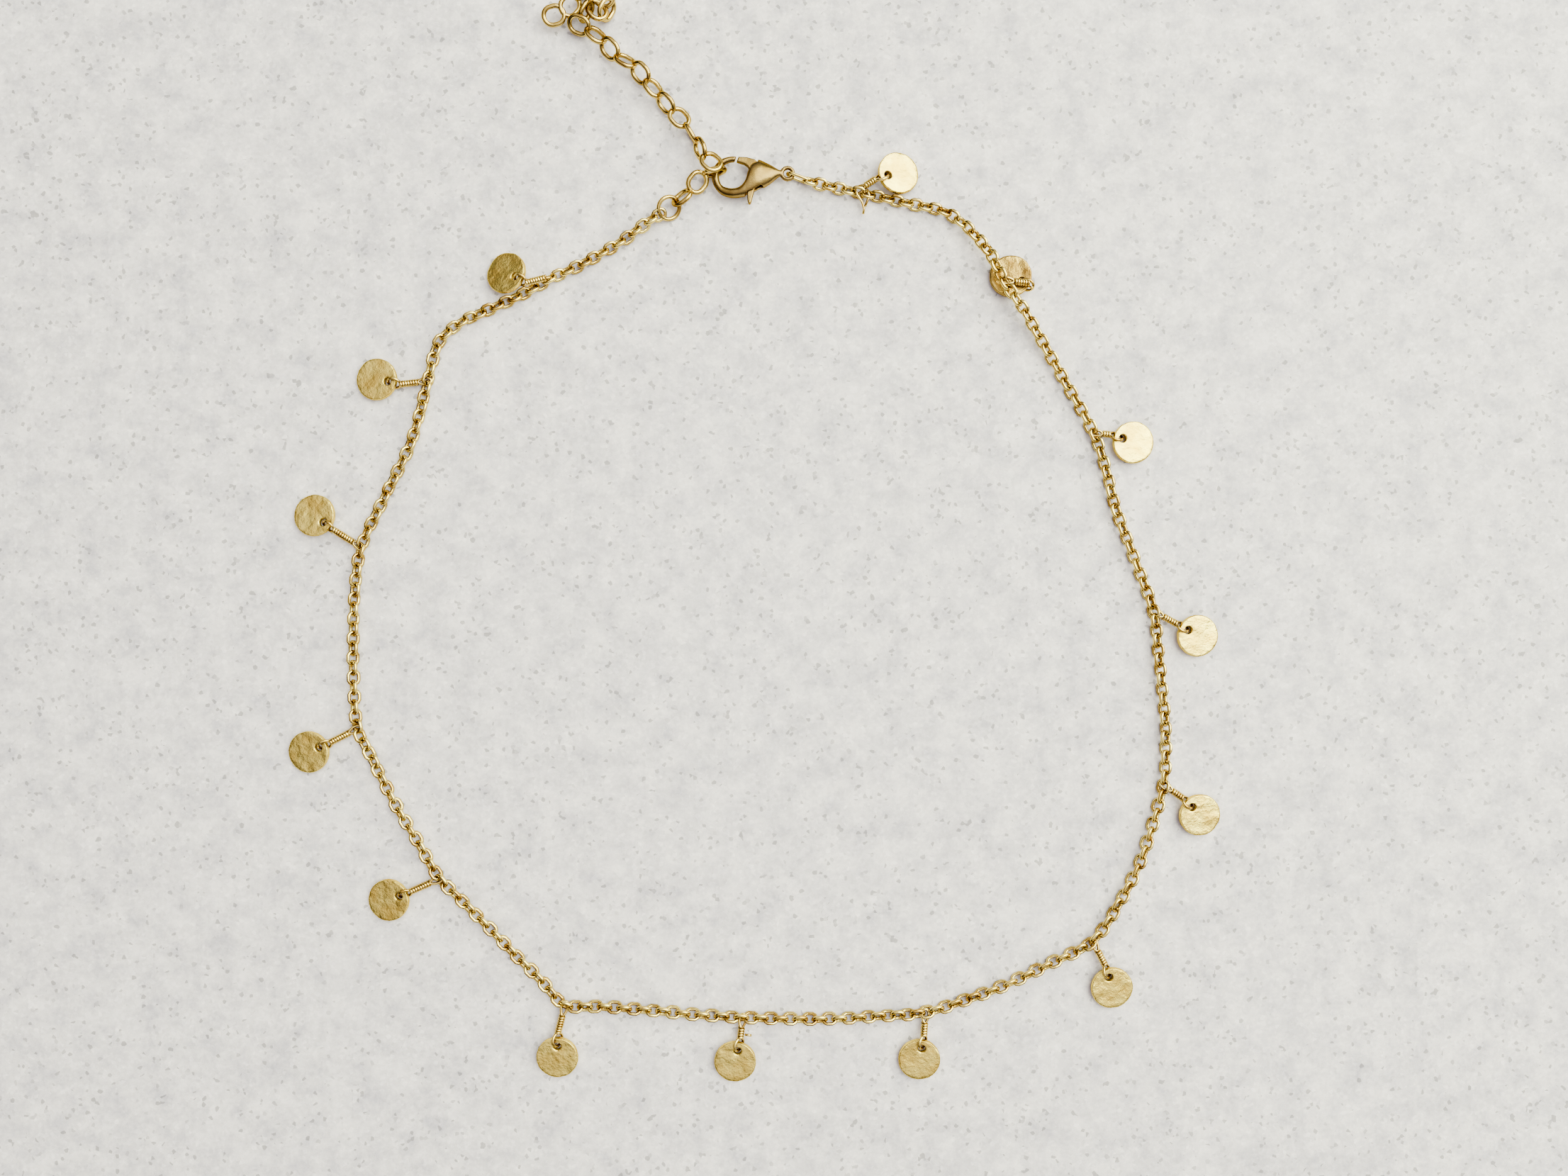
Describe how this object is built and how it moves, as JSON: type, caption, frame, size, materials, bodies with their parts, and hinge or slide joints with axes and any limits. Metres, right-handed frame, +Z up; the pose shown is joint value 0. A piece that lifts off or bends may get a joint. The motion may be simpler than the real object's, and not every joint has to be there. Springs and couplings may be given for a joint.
{
  "type": "choker necklace",
  "caption": "Gold-toned choker necklace laid flat: fine chain loop with small round discs on wire-wrapped links, lobster clasp hooked into an extender chain.",
  "frame": {"origin": "middle of the necklace's outline seen from above, on the surface it lies on", "axes": "+Z up from the surface, -Y towards the front middle of the chain, +Y towards the clasp and the extender chain, +X to the right seen from above"},
  "size_m": [0.1318, 0.1546, 0.0037],
  "materials": {
    "chain_metal": "polished gold plate",
    "drop_wire": "polished gold plate",
    "disc_metal": "satin hammered gold plate",
    "clasp_metal": "satin gold plate"
  },
  "bodies": {
    "necklace": {"chain_left": "chain_metal", "chain_right": "chain_metal", "disc_01": "disc_metal", "disc_02": "disc_metal", "disc_03": "disc_metal", "disc_04": "disc_metal", "disc_05": "disc_metal", "disc_06": "disc_metal", "disc_07": "disc_metal", "disc_08": "disc_metal", "disc_09": "disc_metal", "disc_10": "disc_metal", "disc_11": "disc_metal", "disc_12": "disc_metal", "disc_13": "disc_metal", "disc_14": "disc_metal", "drop_link_01": "drop_wire", "drop_link_02": "drop_wire", "drop_link_03": "drop_wire", "drop_link_04": "drop_wire", "drop_link_05": "drop_wire", "drop_link_06": "drop_wire", "drop_link_07": "drop_wire", "drop_link_08": "drop_wire", "drop_link_09": "drop_wire", "drop_link_10": "drop_wire", "drop_link_11": "drop_wire", "drop_link_12": "drop_wire", "drop_link_13": "drop_wire", "drop_link_14": "drop_wire", "jump_ring": "chain_metal", "extender_chain": "chain_metal", "clasp_link": "chain_metal", "clasp_body": "clasp_metal"},
    "lever": {"clasp_lever": "clasp_metal"}
  },
  "joints": [
    {"name": "lever_pivot", "type": "hinge", "parent": "necklace", "child": "lever", "pos_m": [0.0002, 0.05127, 0.00132], "axis": [0, 0, 1], "range_deg": [0, 22], "stiffness_Nm_per_rad": 0.005}
  ]
}
